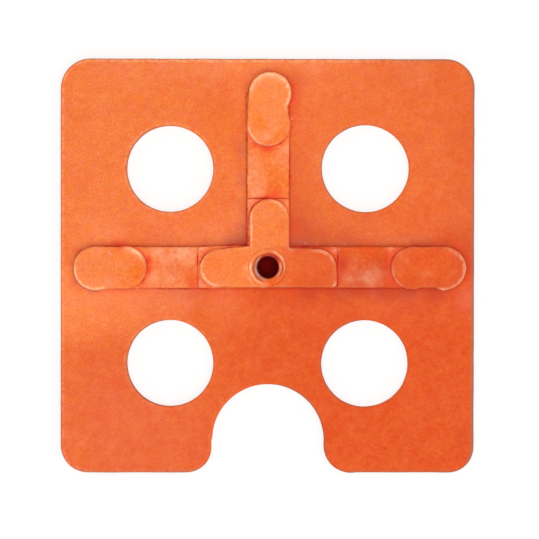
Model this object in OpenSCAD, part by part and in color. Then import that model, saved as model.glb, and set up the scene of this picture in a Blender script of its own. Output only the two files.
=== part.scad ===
// Square packing shim, moulded in one piece. A raised T rib keeps the joint open between
// three slabs or panels, and stepped pads on the T stand level with its hub.
// Origin: middle of the plate's underside. +Z is up, the open slot is on the -Y edge.

/* [Plate] */
// Side of the square plate
plate_side = 100; // [98:1:130]
// Thickness of the plate
plate_t = 4; // [2.5:0.5:8]
// Radius of the plate's corners, seen from above
corner_r = 6.7; // [2:0.1:10]
// Rounding of all edges of the plate, its holes and its slot
plate_edge_r = 0.5; // [0.2:0.1:1]

/* [Large holes] */
// Diameter of the four large holes
hole_d = 20.7; // [12:0.1:26]
// Distance between the centres of the large holes, along both sides
hole_pitch = 47; // [40:0.5:56]

/* [Open slot] */
// Width of the slot
slot_w = 26.8; // [14:0.2:32]
// Depth of the slot, from the plate's edge to its round end
slot_depth = 21.4; // [19:0.2:28]
// Radius of the convex corners at the slot's mouth
mouth_r = 6.2; // [1:0.2:7.8]

/* [T rib] */
// Width of the joint that the rib keeps open
joint_w = 10; // [9.9:0.1:12]
// Play of the rib in that joint
joint_play = 0.1; // [0:0.05:0.3]
// Height of the rib above the plate, between the pads and the hub
rib_h = 2.5; // [1:0.5:8]
// Rounding of the rib's upper edges
rib_edge_r = 0.3; // [0.1:0.05:0.4]
// Shift of the T from the middle of the plate, towards +X
t_shift_x = 0.1; // [-1:0.05:1]
// Shift of the T from the middle of the plate, towards +Y
t_shift_y = -0.2; // [-1:0.05:0]
// How far the middle of the crossbar lies below the middle of the eye
bar_drop = 0.25; // [0:0.05:0.6]

/* [Hub] */
// Height of the hub's lower tier above the rib
tier_h = 0.5; // [0.4:0.1:2]
// Height of the hub's upper tier above the lower one, which the pads share
boss_h = 1; // [0.6:0.1:3]
// Reach of the lower tier along the crossbar, from the eye
tier_reach = 16.8; // [14:0.1:24]
// Reach of the lower tier up the upright, from the eye
upright_tier_reach = 16.3; // [14:0.1:24]
// Width of the hub's upper tier
boss_w = 9.5; // [9.4:0.1:9.8]
// Shift of the upper tier's upright towards +X, from a mismatch of the mould
boss_shift = 0.35; // [0:0.05:0.5]
// How far the upper tier's left end stands back from the lower tier's
left_set_back = 0.5; // [0:0.05:2]
// How far the upper tier's right end stands back from the lower tier's
right_set_back = 0.2; // [0:0.05:2]
// How far the upper tier's upright stands back from the lower tier's
upright_set_back = 0.1; // [0:0.05:2]
// Radius of the lower corner at the blunt right end
blunt_r = 1.2; // [0.6:0.1:4]

/* [Pads] */
// Reach of the left pad, from the eye to its outer end
left_pad_reach = 46.7; // [44:0.1:48]
// Reach of the right pad, from the eye to its outer end
right_pad_reach = 47.6; // [44:0.1:48.5]
// Reach of the upper pad, from the eye to its outer end
upper_pad_reach = 46.8; // [44:0.1:48]
// Length of each pad
pad_length = 17.8; // [14:0.1:24]
// Radius of a pad's outer round
pad_outer_r = 5.2; // [5.2:0.05:6]
// Radius of a pad's inner round
pad_inner_r = 5.15; // [5.15:0.05:5.3]
// Width of the left and the right pad's neck, between the rounds
side_neck_w = 10; // [9.4:0.05:10]
// Width of the upper pad's neck, which leaves a nick at one side
upper_neck_w = 9.55; // [9:0.05:9.55]
// Rounding of the upper edges of the pads and the hub
pad_edge_r = 0.4; // [0.1:0.05:0.5]
// Length of the ramp from the rib up to a pad's foot
ramp_l = 2.1; // [0.5:0.1:5]

/* [Eye] */
// Diameter of the blind centre hole
eye_d = 5.1; // [3:0.1:5.2]
// Thickness left under the centre hole
eye_floor = 1; // [0.5:0.5:2]
// Diameter of the shallow ring recess round the eye
ring_d = 9.3; // [9:0.1:9.4]
// Depth of the ring recess
ring_depth = 0.35; // [0.2:0.05:0.5]
// Diameter of the outer bead's crest
outer_bead_d = 8.1; // [7.9:0.1:8.2]
// Diameter of the inner bead's crest
inner_bead_d = 5.9; // [5.8:0.1:6.1]
// Width of the outer bead
outer_bead_w = 0.7; // [0.5:0.05:0.8]
// Width of the inner bead
inner_bead_w = 0.6; // [0.3:0.05:0.65]

/* [Hidden] */
$fn = 64;
// Corners of the circle that rounds an edge: two flats to each quarter turn
edge_fn = 8;
// How far a cutter runs past the surface that it cuts
past = 1;
rib_w = joint_w - joint_play;
hole_r = hole_d / 2;
slot_r = slot_w / 2;
slot_end_y = slot_depth - slot_r - plate_side / 2;
mouth_x = slot_r + mouth_r;
mouth_y = mouth_r - plate_side / 2;
rib_z = plate_t + rib_h;
tier_z = rib_z + tier_h;
top_z = tier_z + boss_h;
// The T's solids start inside the plate
root_z = plate_t / 2;
// Arms of the T: turn, pad reach, neck width, then how far the pad's outer round, its neck
// and its inner round stand to the left of the arm's middle
arms = [
    [180, left_pad_reach, side_neck_w, 0.2, 0.08, 0],
    [0, right_pad_reach, side_neck_w, -0.22, -0.08, -0.15],
    [90, upper_pad_reach, upper_neck_w, -0.45, -0.05, -0.3]
];
// Ends of the hub's upper tier along the crossbar, from the eye
boss_left = tier_reach - left_set_back;
boss_right = tier_reach - right_set_back;
boss_top = upright_tier_reach - upright_set_back;

// Right half of a section from low to high, its upper edge rounded
module crest_section(half_w, low, high, r) {
    translate([0, low]) square([half_w - r, high - low]);
    translate([0, low]) square([half_w, high - low - r]);
    translate([half_w - r, high - r]) circle(r, $fn = edge_fn);
}

// Right half of the plate's section, both edges rounded
module plate_section(half_w) {
    r = plate_edge_r;
    square([half_w - r, plate_t]);
    translate([0, r]) square([half_w, plate_t - 2 * r]);
    for (z = [r, plate_t - r]) translate([half_w - r, z]) circle(r, $fn = edge_fn);
}

// Right half of the section of a cutter that leaves rounded edges on the plate
module opening_section(half_w) {
    r = plate_edge_r;
    difference() {
        translate([0, -past]) square([half_w + r, plate_t + 2 * past]);
        translate([half_w, r]) square([r + past, plate_t - 2 * r]);
        for (z = [r, plate_t - r]) translate([half_w + r, z]) circle(r, $fn = edge_fn);
    }
}

// Runs a half section, given as the child, out along +X from x0 to x1, on both sides
module bar(x0, x1) {
    translate([x0, 0, 0]) rotate([90, 0, 90]) linear_extrude(x1 - x0) {
        children();
        mirror([1, 0]) children();
    }
}

// Round piece with a rounded upper edge
module puck(r, low, high, edge_r) {
    rotate_extrude() crest_section(r, low, high, edge_r);
}

// Plain square slab with round corners and rounded edges
module slab() {
    half = plate_side / 2;
    inner = half - corner_r;
    for (a = [0, 90]) rotate(a) bar(-inner, inner) plate_section(half);
    for (x = [-inner, inner], y = [-inner, inner]) {
        translate([x, y]) rotate_extrude() plate_section(corner_r);
    }
}

// Space of the four large holes
module hole_space() {
    for (x = [-1, 1], y = [-1, 1]) {
        translate([x, y] * hole_pitch / 2) rotate_extrude() opening_section(hole_r);
    }
}

// Space of the open slot, with its mouth cut square
module slot_space() {
    translate([0, slot_end_y]) rotate_extrude() opening_section(slot_r);
    rotate(-90) bar(-slot_end_y, -mouth_y) opening_section(slot_r);
    translate([-mouth_x, -plate_side / 2 - past, -past])
        cube([2 * mouth_x, mouth_r + past, plate_t + 2 * past]);
}

// Plate with its holes, its slot and the slot's round mouth corners
module plate() {
    difference() {
        slab();
        hole_space();
        slot_space();
    }
    for (side = [-1, 1]) {
        translate([side * mouth_x, mouth_y]) rotate_extrude() plate_section(mouth_r);
    }
}

// Places an arm's child at the eye, turned along the arm and on the arm's middle line
module along_arm(turn) {
    drop = turn == 90 ? 0 : bar_drop;
    translate([0, -drop]) rotate(turn) children();
}

// Rib under one arm, from the eye to the middle of its pad's outer round
module rib(arm) {
    bar(0, arm[1] - pad_outer_r) crest_section(rib_w / 2, root_z, rib_z, rib_edge_r);
}

// Ramp from the rib up to the foot of a pad
module ramp(arm) {
    foot = arm[1] - pad_length;
    half_w = rib_w / 2 - rib_edge_r;
    translate([0, half_w]) rotate([90, 0, 0]) linear_extrude(2 * half_w) polygon([
        [foot - ramp_l, root_z],
        [foot - ramp_l, rib_z],
        [foot, tier_z],
        [foot + pad_inner_r, tier_z],
        [foot + pad_inner_r, root_z]
    ]);
}

// Pad at the end of an arm: two overlapping rounds and the neck between them
module pad(arm) {
    outer_x = arm[1] - pad_outer_r;
    inner_x = arm[1] - pad_length + pad_inner_r;
    translate([outer_x, arm[3]]) puck(pad_outer_r, root_z, top_z, pad_edge_r);
    translate([inner_x, arm[5]]) puck(pad_inner_r, root_z, top_z, pad_edge_r);
    translate([0, arm[4]]) bar(inner_x, outer_x) {
        crest_section(arm[2] / 2, root_z, top_z, pad_edge_r);
    }
}

// Lower tier of the hub, with square ends
module lower_tier() {
    translate([0, -bar_drop]) bar(-tier_reach, tier_reach) {
        crest_section(rib_w / 2, root_z, tier_z, rib_edge_r);
    }
    rotate(90) bar(0, upright_tier_reach) {
        crest_section(rib_w / 2, root_z, tier_z, rib_edge_r);
    }
}

// Fills the lower corner at the right end of the hub's upper tier
module blunt_corner(half_w) {
    corner_x = boss_right - blunt_r;
    corner_y = blunt_r - half_w;
    translate([corner_x, corner_y]) puck(blunt_r, root_z, top_z, pad_edge_r);
    translate([0, -half_w / 2]) bar(boss_right - half_w, corner_x) {
        crest_section(half_w / 2, root_z, top_z, pad_edge_r);
    }
    translate([boss_right - half_w, 0]) rotate(90) bar(corner_y, 0) {
        crest_section(half_w, root_z, top_z, pad_edge_r);
    }
}

// Upper tier of the hub: round ends to the left and up, a blunt one to the right
module upper_tier() {
    half_w = boss_w / 2;
    translate([0, -bar_drop]) {
        bar(half_w - boss_left, boss_right - half_w) {
            crest_section(half_w, root_z, top_z, pad_edge_r);
        }
        translate([half_w - boss_left, 0]) puck(half_w, root_z, top_z, pad_edge_r);
        translate([boss_right - half_w, 0]) puck(half_w, root_z, top_z, pad_edge_r);
        blunt_corner(half_w);
    }
    translate([boss_shift, 0]) {
        rotate(90) bar(0, boss_top - half_w) {
            crest_section(half_w, root_z, top_z, pad_edge_r);
        }
        translate([0, boss_top - half_w]) puck(half_w, root_z, top_z, pad_edge_r);
    }
}

// Space of the centre hole and of the ring recess round it
module eye_space() {
    translate([0, 0, eye_floor]) cylinder(d = eye_d, h = top_z);
    translate([0, 0, top_z - ring_depth]) cylinder(d = ring_d, h = ring_depth + past);
}

// Bead that stands on the floor of the ring recess
module bead(d, w) {
    translate([0, 0, top_z - ring_depth]) rotate_extrude() {
        translate([d / 2, 0]) circle(w / 2, $fn = edge_fn);
    }
}

module shim() {
    color([0.93, 0.42, 0.22]) {
        difference() {
            union() {
                plate();
                translate([t_shift_x, t_shift_y]) {
                    for (arm = arms) along_arm(arm[0]) {
                        rib(arm);
                        ramp(arm);
                        pad(arm);
                    }
                    lower_tier();
                    upper_tier();
                }
            }
            translate([t_shift_x, t_shift_y]) eye_space();
        }
        translate([t_shift_x, t_shift_y]) {
            bead(outer_bead_d, outer_bead_w);
            bead(inner_bead_d, inner_bead_w);
        }
    }
}

shim();
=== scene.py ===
import math
from collections import namedtuple
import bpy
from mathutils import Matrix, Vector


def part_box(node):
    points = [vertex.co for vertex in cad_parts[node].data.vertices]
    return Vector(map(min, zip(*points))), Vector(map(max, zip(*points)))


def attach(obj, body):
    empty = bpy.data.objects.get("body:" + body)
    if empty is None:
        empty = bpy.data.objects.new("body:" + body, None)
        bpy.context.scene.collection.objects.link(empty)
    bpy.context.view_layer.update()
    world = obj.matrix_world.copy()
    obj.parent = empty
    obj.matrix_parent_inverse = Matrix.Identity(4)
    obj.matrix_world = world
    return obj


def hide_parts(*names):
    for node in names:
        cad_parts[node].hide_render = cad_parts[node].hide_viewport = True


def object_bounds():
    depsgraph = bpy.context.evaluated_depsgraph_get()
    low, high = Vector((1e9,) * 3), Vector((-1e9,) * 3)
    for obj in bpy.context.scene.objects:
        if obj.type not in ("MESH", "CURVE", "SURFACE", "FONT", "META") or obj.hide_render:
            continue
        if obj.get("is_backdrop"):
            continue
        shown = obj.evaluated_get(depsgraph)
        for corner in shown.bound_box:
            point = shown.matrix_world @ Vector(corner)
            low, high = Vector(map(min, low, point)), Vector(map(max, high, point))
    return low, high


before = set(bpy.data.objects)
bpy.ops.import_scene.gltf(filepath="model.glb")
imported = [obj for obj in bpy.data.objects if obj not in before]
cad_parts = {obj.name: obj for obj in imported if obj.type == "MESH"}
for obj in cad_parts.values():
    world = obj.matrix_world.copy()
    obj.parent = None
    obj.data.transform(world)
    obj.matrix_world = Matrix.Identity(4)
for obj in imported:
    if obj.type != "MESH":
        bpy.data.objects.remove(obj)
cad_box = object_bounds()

from types import SimpleNamespace

import bpy
import numpy as np
from mathutils import Vector
from mathutils.geometry import delaunay_2d_cdt

# The moulding is worked out in millimetres and turned into metres as its mesh is made.
MM = 0.001
_, high_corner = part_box("shim")

# Driving sizes, in millimetres from the plate's middle and its underside
PLATE_HALF = high_corner.x / MM
TOP_Z = high_corner.z / MM
PLATE_T = 4.0
PLATE_EDGE_R = 0.5
# How far the plate's left, lower, right and upper edges have shrunk, at their two ends
SHRINK = ((0.1, 0.1), (0.08, 0.08), (0.3, 0.0), (0.0, 0.22))
# Radius of each corner; -1 is left or low, 1 is right or high
CORNER_R = {(-1, 1): 7.3, (1, 1): 6.9, (-1, -1): 6.6, (1, -1): 6.1}
# Middle and radius of each large hole; none came out of the mould quite in its place
HOLES = ((-23.46, 23.36, 10.33), (23.6, 23.4, 10.45),
         (-23.44, -23.5, 10.33), (23.4, -23.62, 10.38))
SLOT_X = 0.1
SLOT_R = 13.4
SLOT_END_Y = -42.05
# Middle and radius of the round at each side of the slot's mouth
MOUTH = ((-19.45, -43.95, 5.95), (20.08, -43.4, 6.6))

# Where the T's arms start, and how far the bar's middle line lies below that point
T_X = 0.1
T_Y = -0.2
BAR_DROP = 0.25
RIB_HALF = 4.95
# How much wider the upright is on its right
UPRIGHT_EXTRA = 0.15
RIB_Z = 6.5
RIB_EDGE_R = 0.3
TIER_Z = 7.0
TIER_LEFT = 16.75
TIER_RIGHT = 16.8
TIER_UP = 16.1
TIER_CORNER_R = 0.4
# Where the lower tier's upper left edge has climbed to its full height
TIER_CLIMB = (-4.5, 4.95)
PAD_EDGE_R = 0.5
# Where the pads' feet are along the arms, and how long before and past that the ramps rise
PAD_FOOT = 29.0
RAMP_L = 2.1
RAMP_PAST = 0.4
# Each arm: its turn in degrees, its pad's outer and inner rounds as (along, across, radius), and
# how far the pad's neck reaches to its left and right, at the outer and at the inner round
Arm = namedtuple("Arm", "turn outer inner left right")
UPWARDS = 90
ARMS = (
    Arm(180, (41.45, 0.2, 5.28), (34.2, 0.0, 5.13), (5.13, 5.13), (4.97, 4.97)),
    Arm(0, (42.45, -0.22, 5.18), (34.8, -0.15, 5.15), (4.97, 4.97), (4.9, 4.9)),
    Arm(UPWARDS, (41.6, -0.57, 5.12), (34.1, -0.22, 5.2), (4.54, 4.97), (4.25, 5.37)),
)
# The hub's round ends, as (x, y, radius), and the stretch of its blunt lower right corner
HUB_ROUNDS = ((-11.66, -0.58, 4.55), (11.93, -0.58, 4.65), (0.47, 11.29, 4.74))
BLUNT_X = (5, 16.67)
BLUNT_R = 1.2
# The hub's lower edge, where its upper left edge turns level, the height of its upper right edge
# at the upright, the upright's two sides at its root, and how far both halves pass the middle
HUB_LOW = -5.27
HUB_BEND = (-4.3, 4.75)
HUB_RIGHT_Y = 4.4
HUB_SIDES = (-4.32, 5.28)
HUB_PAST = 1
EYE_X = 0.1
EYE_Y = -0.4
EYE_R = 2.55
EYE_FLOOR = 1.0
# The eye's worn mouth, how much its wall leans in below that, and the mesh's circle on its floor
EYE_MOUTH_R = 2.67
EYE_MOUTH_DEPTH = 1.1
EYE_LEAN = 0.03
EYE_FLOOR_CIRCLE = 1.3
# Middle of the ring recess and its outer bead, the recess's radius and the width of its sloping
# lip, the middle of the inner bead, and the radii between which that middle takes over
RING_X = 0.0
RING_Y = -0.48
RING_R = 4.62
RING_LIP = 0.2
INNER_X = 0.25
INNER_Y = -0.35
INNER_FROM = (3.75, 3.35)
# The two beads: middle radius, half width, height, which is also the depth of the groove beside
# the bead, and gaps. A gap has its middle and half width, in degrees anticlockwise from the
# right, and how much of the bead is gone there.
Bead = namedtuple("Bead", "r half_w height gaps")
OUTER_BEAD = Bead(4.05, 0.45, 0.3, ((125, 40, 0.7), (285, 60, 1.0)))
INNER_BEAD = Bead(2.98, 0.3, 0.5, ((85, 60, 1.0), (275, 45, 0.2)))
# How far the beads' tops lie below the hub's
BEAD_DROP = 0.02

# Unevenness of the moulding, in millimetres
EDGE_WAVER = 0.08
OUTLINE_WAVER = 0.07
RING_WAVER = 0.06
PLATE_SWELL = 0.04
RIB_SAG = 0.05
CREST_SAG = 0.03
WALL_SCAR = 0.06
# How much lower a pad's inner part lies than its end, and how round the inner corners are
PAD_STEP = 0.07
BLEND = 0.12

# Layout of the mesh, in millimetres. A step has a line of points at its foot, just outside its
# outline, one on its edge, one for each turn of its rounded crest and one on the flat behind. A
# point counts as on top up to ON_TOP outside an outline.
FOOT_GAP = 0.03
EDGE_GAP = 0.01
ON_TOP = 0.008
CREST_TURNS = tuple(math.radians(turn) for turn in (30, 60, 90))
CREST_FLAT = 0.12
WALL_ROWS = 5
RIM_SPACING = 0.6
STEP_SPACING = 0.3
# Each stretch as (x0, x1, y0, y1), the step at which it is searched for outlines, the spacing of
# the points that fill it, and how far those stay off the lines
PLATE_SPAN = (-PLATE_HALF - 1, PLATE_HALF + 1, -PLATE_HALF - 1, PLATE_HALF + 1)
PLATE_SEARCH = 0.4
PLATE_SPACING = 0.75
PLATE_GAP = 0.5
T_SPAN = (-PLATE_HALF, PLATE_HALF, -7, PLATE_HALF)
T_SEARCH = 0.15
T_SPACING = 0.5
T_GAP = 0.25
UNDER_SPACING = 2.0
UNDER_GAP = 0.8
RING_GAP = 0.3
# How far from the T the points are still as dense as on it
T_MARGIN = 0.5
# Radii of the ring's circles of points, and how many points those and a small spot's have
RING_CIRCLES = (2.86, 2.94, 3.02, 3.1, 3.2, 3.28, 3.36, 3.46, 3.56, 3.64,
                3.72, 3.84, 4.0, 4.16, 4.28, 4.36, 4.44, 4.52, 4.6, 4.68)
RING_POINTS = 80
SPOT_POINTS = 9
SHARP_TURN = math.radians(42)

# Where the moulding gets painted highlights, painted shade, dust and other marks. Each mark is a
# soft
# dab: x, y, radius and strength, in millimetres from the plate's middle.
RIM_HIGHLIGHTS = (
    (-46.8, -0.7, 2.5, 0.5), (-45.7, -3.8, 2.5, 0.9), (-43.2, -5.5, 3, 1), (-40.8, -5.8, 1.5, 0.9),
    (-30.4, 3.2, 2.2, 0.8), (-32.1, 4.25, 1.5, 0.6), (-32.5, 3.2, 1.5, 0.4), (-4.1, 42.8, 2, 0.6),
    (-3.1, 45, 2, 0.8), (-0.7, 46.4, 2.5, 0.8), (2.2, 46.4, 2.5, 0.85), (4.6, 44.7, 2.5, 0.8),
    (5.8, 41.8, 2.5, 0.55), (4.85, 38.9, 1.2, 0.7), (-4.3, 31.9, 1.8, 0.8), (-2.65, 30, 2, 0.5),
    (0, 28.8, 2, 0.2), (44.7, 4, 2, 0.28), (46.9, 2, 2, 0.33), (47.9, -0.5, 2, 0.38),
    (46.9, -3.6, 2, 0.4), (44.2, -5.5, 2, 0.25), (42.3, -5.8, 1, 0.8), (30.1, -0.7, 3, 0.2),
    (31.2, -3.8, 2, 0.25), (-16.2, -0.7, 2.5, 0.5), (-15.4, -3.1, 2, 0.95), (-13.8, -4.6, 2, 0.8),
    (-1.2, -5.2, 1.2, 0.2), (4, -5.2, 2.5, 0.1), (16.3, -4.5, 1, 0.3), (16.6, -0.7, 3, 0.1),
    (15.7, 2, 2, 0.28), (13.3, 3.9, 2.5, 0.38), (-4.1, 8.5, 3.5, 0.8), (-4.1, 11.6, 2, 0.6),
    (3.6, 14.8, 2, 0.6), (1.9, 15.7, 1.5, 0.4),
)
# Rims with a painted highlight over a wider stretch
WIDE_RIMS = (
    (-1, 46, 3.5, 1), (2.5, 46, 2.5, 0.7), (-3.5, 44, 2, 0.5), (-31.5, 4, 2.5, 0.9),
    (-34, 5, 1.5, 0.4), (45, 3, 2, 0.2),
)
# Painted highlights on the ring's outer and inner bead
BEAD_HIGHLIGHTS = (
    (-4.3, -0.1, 1.3, 1), (-4, -2.4, 1.5, 0.8), (-2.4, -4.1, 1.3, 0.6), (3.6, 1.9, 1.3, 0.8),
    (2.2, 3.1, 1, 0.6), (4.2, -0.2, 1, 0.4),
)
INNER_BEAD_HIGHLIGHTS = (
    (-2.5, 1, 0.9, 0.5), (-2.8, -0.4, 0.9, 0.6), (-2.6, -1.9, 1.35, 1), (-1.4, -3.1, 0.9, 0.5),
    (3.2, -0.3, 0.9, 0.35), (2.9, -2, 0.8, 0.25),
)
# Painted contact shade where the steps meet what they stand on
FOOT_SHADE_DABS = (
    (-45.7, 3.4, 1.5, 0.9), (-37.7, 4.7, 3, 1), (-35, 4.7, 2, 0.8), (-29, 0.75, 2.5, 1),
    (-29.5, -2.4, 2, 0.8), (-31.9, 4.9, 2, 0.5), (-46.1, -3.1, 3, 0.8), (-22.2, 4.6, 5, 0.5),
    (-22.2, -5.4, 5, 0.9), (-16.2, 1.7, 2, 0.9), (-15, 3.2, 1.5, 0.8), (-7.7, 4.9, 4, 0.9),
    (-4.2, 30.3, 1.5, 0.9), (-14.9, -3.9, 2, 0.8), (-4.8, 5.1, 2, 1), (-4.6, 8.5, 4, 0.5),
    (-4.6, 12.1, 3, 0.8), (-3.4, 15, 2, 0.9), (-0.5, 16.5, 2, 1), (3.2, 15.7, 2, 0.6),
    (5.3, 8.5, 5, 0.4), (8.7, 4.4, 3, 0.8), (12.8, 4.5, 3, 0.6), (17, 1.2, 3, 1),
    (17, -3.6, 1.5, 0.9), (8, -5.5, 6, 0.5), (-6.5, -5.5, 6, 0.1), (19, -5.5, 3, 1),
    (24.5, -5.5, 4, 1), (29.7, 1.7, 2.5, 1), (29.5, -1.2, 2, 1), (30.5, -3.6, 2, 0.9),
    (36, -4.9, 3, 0.8), (37, 4.9, 5, 0.9), (46.7, 3.2, 2, 0.8), (48.3, -0.2, 2, 0.8),
    (-4.9, 37.5, 5, 0.45), (-4.8, 43.5, 3, 0.6), (0.3, 46.9, 4, 0.4), (6.3, 42.3, 3, 0.8),
    (5.6, 37.5, 3, 0.6), (-1.2, 28.8, 3, 1), (2.7, 29, 2, 0.8), (-5.1, 24.2, 5, 0.55),
    (-5.1, 19.4, 3, 0.7), (5.45, 24.2, 5, 0.6), (5.4, 19.3, 3, 0.5),
)
# Thin dark lines of painted contact shade at the feet of the pads
LINED_FEET = (
    (-47.3, 0.5, 2, 0.6), (-46.8, -3.4, 2, 1), (-44.6, -5.5, 2, 1), (-41.8, -6.2, 1.5, 0.9),
    (-46.4, 3.4, 1.6, 0.7), (-42.5, 5.3, 2, 0.4),
)
# Painted shade in the throat of the ring and in its grooves
THROAT_SHADE_DABS = (
    (0.8, 2.7, 1.8, 1), (-1, 2.4, 1.2, 1), (2.2, 2, 1.2, 1), (-2, -3.1, 1.2, 0.4),
    (1.6, 2.3, 1, 1),
)
GROOVE_SHADE_DABS = (
    (-2, -3.1, 1.2, 0.9), (-3.3, -0.2, 1.4, 1), (-2.9, -1.9, 1, 0.9), (-2.4, 1.6, 1, 0.8),
    (3.7, -0.6, 1.2, 1), (3.3, -2.4, 1, 0.8), (4.7, -0.4, 1.4, 0.9), (0.3, 4, 1.2, 0.6),
    (-3.6, 2.4, 1.5, 0.8),
)
# Dust on the plate beside the T, and painted shade there
DUST = (
    (-5.7, 5.6, 1.6, 0.8), (-6.5, 6.2, 2.6, 1), (-8.6, 5.8, 3, 0.8), (-5.6, 9.7, 2.2, 0.6),
    (-6.2, 14.5, 2.5, 0.2), (-5.8, 20.6, 2.5, 0.5), (-6, 27.8, 2.5, 0.4), (-15, 5.8, 3, 0.3),
    (-24, 5.8, 4, 0.2), (6.9, 5.5, 1.6, 0.9), (9.5, 5.2, 2, 0.6), (13.2, 5.4, 3, 0.35),
    (20, 5.6, 4, 0.45), (27.3, 5.8, 5, 0.35), (37, 5.8, 4, 0.5), (-23, -6.5, 5, 0.35),
    (-33, -6.3, 4, 0.15), (34, -6.2, 2.5, 0.6), (26, -6.1, 2.5, 0.35), (18, -6.2, 2.5, 0.3),
    (41.2, -6.1, 2.2, 0.35), (-42, -6.1, 1.5, 0.5), (10, -6, 2, 0.2),
)
DARKENED = (
    (-5.8, 5.7, 1.5, 0.9), (-7.3, 5.8, 1.5, 0.5), (6.3, 44.7, 3, 0.5), (6.5, 25.4, 5, 0.4),
    (6.5, 15.7, 5, 0.5), (7, 9.7, 3.5, 0.8), (9, 8, 3, 0.7), (14, 6.5, 3, 0.6), (19, 6.5, 3, 0.6),
    (12, 11, 5, 0.3), (22, 11, 5, 0.3), (48.6, 3.6, 3, 0.6), (45.4, 6.1, 4, 0.5),
    (39.4, -7, 3, 0.5), (29.7, -6.7, 3, 0.5), (17.6, -6.7, 3, 0.45), (10, -6.5, 3, 0.7),
    (-0.5, -6.5, 3, 0.3), (-8.9, -6.5, 3, 0.2), (46.7, -41, 2, 0.5), (48.7, 0, 1.8, 0.9),
    (41.5, -6.2, 2, 0.5), (-46.6, -4.4, 1.2, 0.5), (-45.4, -5.6, 1.2, 0.4),
)
# Pinkish haze of fine dust on the plate
HAZED = (
    (-42, -7, 5, 0.9), (-33, -9, 6, 0.6), (-22, -7, 4, 0.5), (-36, -38, 14, 0.8),
    (-20, -42, 8, 0.5), (-13, 7, 4, 0.9), (-24, 7.5, 5, 0.5), (-40, 7, 5, 0.9), (-36, 49, 5, 0.8),
    (-24, 49, 5, 0.7), (-12, 49, 5, 1), (0, 49, 3.5, 1), (11, 48.5, 5, 1), (22, 49, 4, 0.7),
    (34, 49, 5, 0.5), (48.5, -8, 4, 1), (-5.8, 12, 3, 0.8), (7, 5.4, 2, 0.8), (-20, -6.3, 3.5, 1),
    (-11, -6.3, 3.5, 1), (-30, -6.5, 3, 0.8), (27, -7.5, 2.5, 0.6), (34, -9, 4, 0.4),
    (-38, 6.3, 4, 0.6), (-46, -6, 4, 0.8),
)
# Where the painted light and the orange's own tone are paler or deeper than the even change from
# left to right: x, y, radius and the change. Many of them are painted light and shade beside the T.
LIGHT_AND_TONE_DABS = (
    (-6.5, 12, 2.5, 0.3), (-6.5, 18.5, 2.5, 0.2), (-6.5, 36, 3, 0.2), (-6.5, 42, 3, 0.2),
    (-7, 48.3, 3, 0.3), (-13, 48.3, 3, 0.25), (0, 49, 3, 0.25), (6, 48.5, 2.5, 0.15),
    (11.5, 48, 3, 0.3), (18, 48.5, 3, 0.18), (11.5, 42, 3, 0.2), (36, 48, 4, 0.22),
    (-20, 48.5, 4, 0.12), (-34, 48, 5, 0.15), (-42, 6.3, 3.5, 0.3), (-36, 6.3, 3, 0.22),
    (-18, 6.3, 3, 0.15), (-12, 6.5, 3, 0.25), (-12, 11, 3, 0.1), (-42, -6.8, 3.5, 0.2),
    (-36, -6.8, 3, 0.2), (-17, -8, 4, 0.15), (-12, -12, 4, 0.18), (-6, -12, 4, 0.22),
    (48.5, -7, 2.5, 0.2), (12, 24, 3, 0.15), (-42, 12, 4, 0.1), (0, 47.4, 2.5, 0.3),
    (-27, -12.5, 4, -0.17), (-21, -0.5, 4, -0.2), (12, 6.4, 3, -0.2), (18, 6.2, 2.5, -0.12),
    (42, 6.5, 3, -0.2), (-30, 6.5, 3, -0.2), (36, 12, 4, -0.18), (18, 0, 1.5, -0.3),
    (-48, 36, 4, -0.18), (10, -7, 4, -0.1), (30, -6.5, 3, -0.12), (6, 12.5, 3, -0.15),
    (-48, 24, 4, -0.1), (-10, -8, 3.5, 0.25), (-20, -7, 3, 0.15), (-6.5, 29, 2.2, -0.2),
    (27, -8.5, 3, 0.12), (10, -8.8, 3, 0.1), (-10, -5.9, 2, 0.2), (-22, 0, 4, -0.13),
    (0, -6.5, 3, -0.1), (-12, -5.4, 2, -0.15), (9, 8.5, 3, -0.1), (-14, 3, 3, -0.08),
    (-31, -2.5, 2, -0.15), (22, -3.2, 3, -0.1), (-39, 6.5, 4, 0.1), (-12, 6.5, 3, 0.12),
    (-42, -6.5, 3, 0.15), (-48, -6, 3, 0.12), (-30, -0.3, 2.5, -0.1), (-24, 0.5, 3, -0.1),
    (29, 12, 3.5, -0.14), (0, 18.5, 2.5, -0.15), (6.5, 18, 2, -0.1), (6, 36, 2, -0.15),
    (42, -6.5, 2.5, -0.12), (-27, -12, 4, -0.1), (-36, -18, 3, -0.15), (-0.5, 30, 2.5, 0.2),
    (48, -6, 2, 0.05), (6.5, -6.3, 4, -0.08), (1.2, -3.9, 1.5, -0.25), (29, 1, 1.5, -0.15),
    (12, 48.5, 4, 0.08), (-9, 48.5, 4, 0.1),
)
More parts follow.
